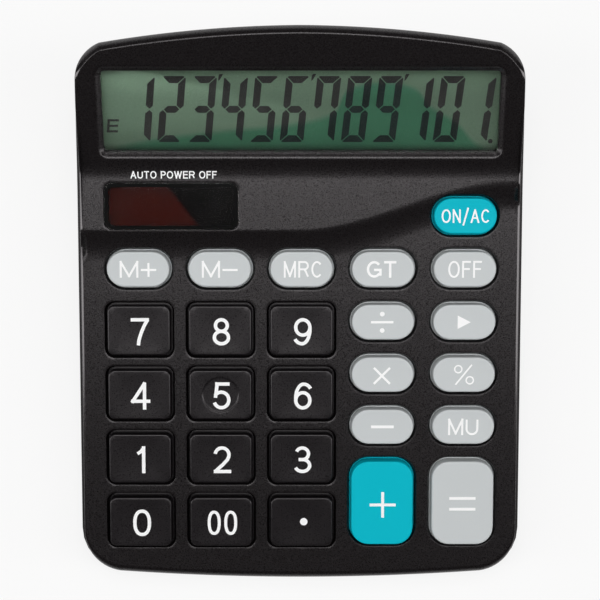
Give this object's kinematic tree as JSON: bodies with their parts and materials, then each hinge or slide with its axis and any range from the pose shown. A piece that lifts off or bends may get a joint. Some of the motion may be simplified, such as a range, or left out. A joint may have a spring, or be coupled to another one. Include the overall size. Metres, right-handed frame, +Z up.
{
  "type": "desk calculator",
  "caption": "Desk calculator with a sloped key face, a tilted display hood, a solar window, sprung keys and a sliding battery door underneath.",
  "frame": {"origin": "middle of the outline at the level of the feet, so the calculator stands on Z = 0", "axes": "+X to the right as the user sees it, +Y towards the display's end, +Z up"},
  "size_m": [0.1204, 0.147, 0.0396],
  "materials": {
    "case_black": "moulded ABS, fine spark texture",
    "key_black": "moulded ABS, satin",
    "key_grey": "moulded ABS, satin",
    "key_teal": "moulded ABS, satin",
    "lens_clear": "clear acrylic",
    "lcd_glass": "thin glass",
    "film": "polarising film",
    "frame_white": "moulded ABS",
    "screw_steel": "zinc plated",
    "ribbon_film": "polyester film with carbon tracks",
    "window_tinted": "clear acrylic over a red-brown cell",
    "cell_glass": "amorphous silicon on glass",
    "wire_sleeve": "soft PVC",
    "dome_rubber": "moulded silicone",
    "board_laminate": "phenolic paper laminate",
    "resin_black": "cast epoxy",
    "capacitor_sleeve": "shrink sleeve",
    "resistor_body": "lacquered ceramic",
    "battery_can": "printed sleeve on a steel can",
    "contact_nickel": "nickel plated spring steel",
    "foot_rubber": "moulded rubber"
  },
  "bodies": {
    "case": {"top_cover": "case_black", "bottom_case": "case_black", "display_lens": "lens_clear", "lcd_front_polarizer": "film", "lcd_front_glass": "lcd_glass", "lcd_rear_glass": "lcd_glass", "lcd_reflector": "film", "lcd_frame": "frame_white", "lcd_screws": "screw_steel", "display_ribbon": "ribbon_film", "solar_window": "window_tinted", "solar_cell": "cell_glass", "solar_wires": "wire_sleeve", "keypad_membrane": "dome_rubber", "circuit_board": "board_laminate", "chip_cap": "resin_black", "capacitor": "capacitor_sleeve", "resistors": "resistor_body", "board_screws": "screw_steel", "case_screws": "screw_steel", "battery": "battery_can", "battery_spring": "contact_nickel", "battery_plate": "contact_nickel", "battery_wires": "wire_sleeve", "rubber_feet": "foot_rubber"},
    "battery_door": {"battery_door": "case_black"},
    "key_0": {"key_0": "key_black"},
    "key_00": {"key_00": "key_black"},
    "key_point": {"key_point": "key_black"},
    "key_1": {"key_1": "key_black"},
    "key_2": {"key_2": "key_black"},
    "key_3": {"key_3": "key_black"},
    "key_4": {"key_4": "key_black"},
    "key_5": {"key_5": "key_black"},
    "key_6": {"key_6": "key_black"},
    "key_7": {"key_7": "key_black"},
    "key_8": {"key_8": "key_black"},
    "key_9": {"key_9": "key_black"},
    "key_plus": {"key_plus": "key_teal"},
    "key_equals": {"key_equals": "key_grey"},
    "key_minus": {"key_minus": "key_grey"},
    "key_mark_up": {"key_mark_up": "key_grey"},
    "key_multiply": {"key_multiply": "key_grey"},
    "key_percent": {"key_percent": "key_grey"},
    "key_divide": {"key_divide": "key_grey"},
    "key_arrow": {"key_arrow": "key_grey"},
    "key_memory_plus": {"key_memory_plus": "key_grey"},
    "key_memory_minus": {"key_memory_minus": "key_grey"},
    "key_memory_recall": {"key_memory_recall": "key_grey"},
    "key_grand_total": {"key_grand_total": "key_grey"},
    "key_off": {"key_off": "key_grey"},
    "key_on_clear": {"key_on_clear": "key_teal"}
  },
  "joints": [
    {"name": "key_0_press", "type": "slide", "parent": "case", "child": "key_0", "axis": [0, 0.1045, -0.9945], "range_m": [0, 0.0015], "stiffness_N_per_m": 400, "springref_m": -0.0003, "deforming": ["keypad_membrane"]},
    {"name": "key_00_press", "type": "slide", "parent": "case", "child": "key_00", "axis": [0, 0.1045, -0.9945], "range_m": [0, 0.0015], "stiffness_N_per_m": 400, "springref_m": -0.0003, "deforming": ["keypad_membrane"]},
    {"name": "key_point_press", "type": "slide", "parent": "case", "child": "key_point", "axis": [0, 0.1045, -0.9945], "range_m": [0, 0.0015], "stiffness_N_per_m": 400, "springref_m": -0.0003, "deforming": ["keypad_membrane"]},
    {"name": "key_1_press", "type": "slide", "parent": "case", "child": "key_1", "axis": [0, 0.1045, -0.9945], "range_m": [0, 0.0015], "stiffness_N_per_m": 400, "springref_m": -0.0003, "deforming": ["keypad_membrane"]},
    {"name": "key_2_press", "type": "slide", "parent": "case", "child": "key_2", "axis": [0, 0.1045, -0.9945], "range_m": [0, 0.0015], "stiffness_N_per_m": 400, "springref_m": -0.0003, "deforming": ["keypad_membrane"]},
    {"name": "key_3_press", "type": "slide", "parent": "case", "child": "key_3", "axis": [0, 0.1045, -0.9945], "range_m": [0, 0.0015], "stiffness_N_per_m": 400, "springref_m": -0.0003, "deforming": ["keypad_membrane"]},
    {"name": "key_4_press", "type": "slide", "parent": "case", "child": "key_4", "axis": [0, 0.1045, -0.9945], "range_m": [0, 0.0015], "stiffness_N_per_m": 400, "springref_m": -0.0003, "deforming": ["keypad_membrane"]},
    {"name": "key_5_press", "type": "slide", "parent": "case", "child": "key_5", "axis": [0, 0.1045, -0.9945], "range_m": [0, 0.0015], "stiffness_N_per_m": 400, "springref_m": -0.0003, "deforming": ["keypad_membrane"]},
    {"name": "key_6_press", "type": "slide", "parent": "case", "child": "key_6", "axis": [0, 0.1045, -0.9945], "range_m": [0, 0.0015], "stiffness_N_per_m": 400, "springref_m": -0.0003, "deforming": ["keypad_membrane"]},
    {"name": "key_7_press", "type": "slide", "parent": "case", "child": "key_7", "axis": [0, 0.1045, -0.9945], "range_m": [0, 0.0015], "stiffness_N_per_m": 400, "springref_m": -0.0003, "deforming": ["keypad_membrane"]},
    {"name": "key_8_press", "type": "slide", "parent": "case", "child": "key_8", "axis": [0, 0.1045, -0.9945], "range_m": [0, 0.0015], "stiffness_N_per_m": 400, "springref_m": -0.0003, "deforming": ["keypad_membrane"]},
    {"name": "key_9_press", "type": "slide", "parent": "case", "child": "key_9", "axis": [0, 0.1045, -0.9945], "range_m": [0, 0.0015], "stiffness_N_per_m": 400, "springref_m": -0.0003, "deforming": ["keypad_membrane"]},
    {"name": "key_plus_press", "type": "slide", "parent": "case", "child": "key_plus", "axis": [0, 0.1045, -0.9945], "range_m": [0, 0.0015], "stiffness_N_per_m": 400, "springref_m": -0.0003, "deforming": ["keypad_membrane"]},
    {"name": "key_equals_press", "type": "slide", "parent": "case", "child": "key_equals", "axis": [0, 0.1045, -0.9945], "range_m": [0, 0.0015], "stiffness_N_per_m": 400, "springref_m": -0.0003, "deforming": ["keypad_membrane"]},
    {"name": "key_minus_press", "type": "slide", "parent": "case", "child": "key_minus", "axis": [0, 0.1045, -0.9945], "range_m": [0, 0.0015], "stiffness_N_per_m": 400, "springref_m": -0.0003, "deforming": ["keypad_membrane"]},
    {"name": "key_mark_up_press", "type": "slide", "parent": "case", "child": "key_mark_up", "axis": [0, 0.1045, -0.9945], "range_m": [0, 0.0015], "stiffness_N_per_m": 400, "springref_m": -0.0003, "deforming": ["keypad_membrane"]},
    {"name": "key_multiply_press", "type": "slide", "parent": "case", "child": "key_multiply", "axis": [0, 0.1045, -0.9945], "range_m": [0, 0.0015], "stiffness_N_per_m": 400, "springref_m": -0.0003, "deforming": ["keypad_membrane"]},
    {"name": "key_percent_press", "type": "slide", "parent": "case", "child": "key_percent", "axis": [0, 0.1045, -0.9945], "range_m": [0, 0.0015], "stiffness_N_per_m": 400, "springref_m": -0.0003, "deforming": ["keypad_membrane"]},
    {"name": "key_divide_press", "type": "slide", "parent": "case", "child": "key_divide", "axis": [0, 0.1045, -0.9945], "range_m": [0, 0.0015], "stiffness_N_per_m": 400, "springref_m": -0.0003, "deforming": ["keypad_membrane"]},
    {"name": "key_arrow_press", "type": "slide", "parent": "case", "child": "key_arrow", "axis": [0, 0.1045, -0.9945], "range_m": [0, 0.0015], "stiffness_N_per_m": 400, "springref_m": -0.0003, "deforming": ["keypad_membrane"]},
    {"name": "key_memory_plus_press", "type": "slide", "parent": "case", "child": "key_memory_plus", "axis": [0, 0.1045, -0.9945], "range_m": [0, 0.0015], "stiffness_N_per_m": 400, "springref_m": -0.0003, "deforming": ["keypad_membrane"]},
    {"name": "key_memory_minus_press", "type": "slide", "parent": "case", "child": "key_memory_minus", "axis": [0, 0.1045, -0.9945], "range_m": [0, 0.0015], "stiffness_N_per_m": 400, "springref_m": -0.0003, "deforming": ["keypad_membrane"]},
    {"name": "key_memory_recall_press", "type": "slide", "parent": "case", "child": "key_memory_recall", "axis": [0, 0.1045, -0.9945], "range_m": [0, 0.0015], "stiffness_N_per_m": 400, "springref_m": -0.0003, "deforming": ["keypad_membrane"]},
    {"name": "key_grand_total_press", "type": "slide", "parent": "case", "child": "key_grand_total", "axis": [0, 0.1045, -0.9945], "range_m": [0, 0.0015], "stiffness_N_per_m": 400, "springref_m": -0.0003, "deforming": ["keypad_membrane"]},
    {"name": "key_off_press", "type": "slide", "parent": "case", "child": "key_off", "axis": [0, 0.1045, -0.9945], "range_m": [0, 0.0015], "stiffness_N_per_m": 400, "springref_m": -0.0003, "deforming": ["keypad_membrane"]},
    {"name": "key_on_clear_press", "type": "slide", "parent": "case", "child": "key_on_clear", "axis": [0, 0.1045, -0.9945], "range_m": [0, 0.0015], "stiffness_N_per_m": 400, "springref_m": -0.0003, "deforming": ["keypad_membrane"]},
    {"name": "battery_door_slide", "type": "slide", "parent": "case", "child": "battery_door", "axis": [0, 1, 0], "range_m": [0, 0.02]}
  ]
}
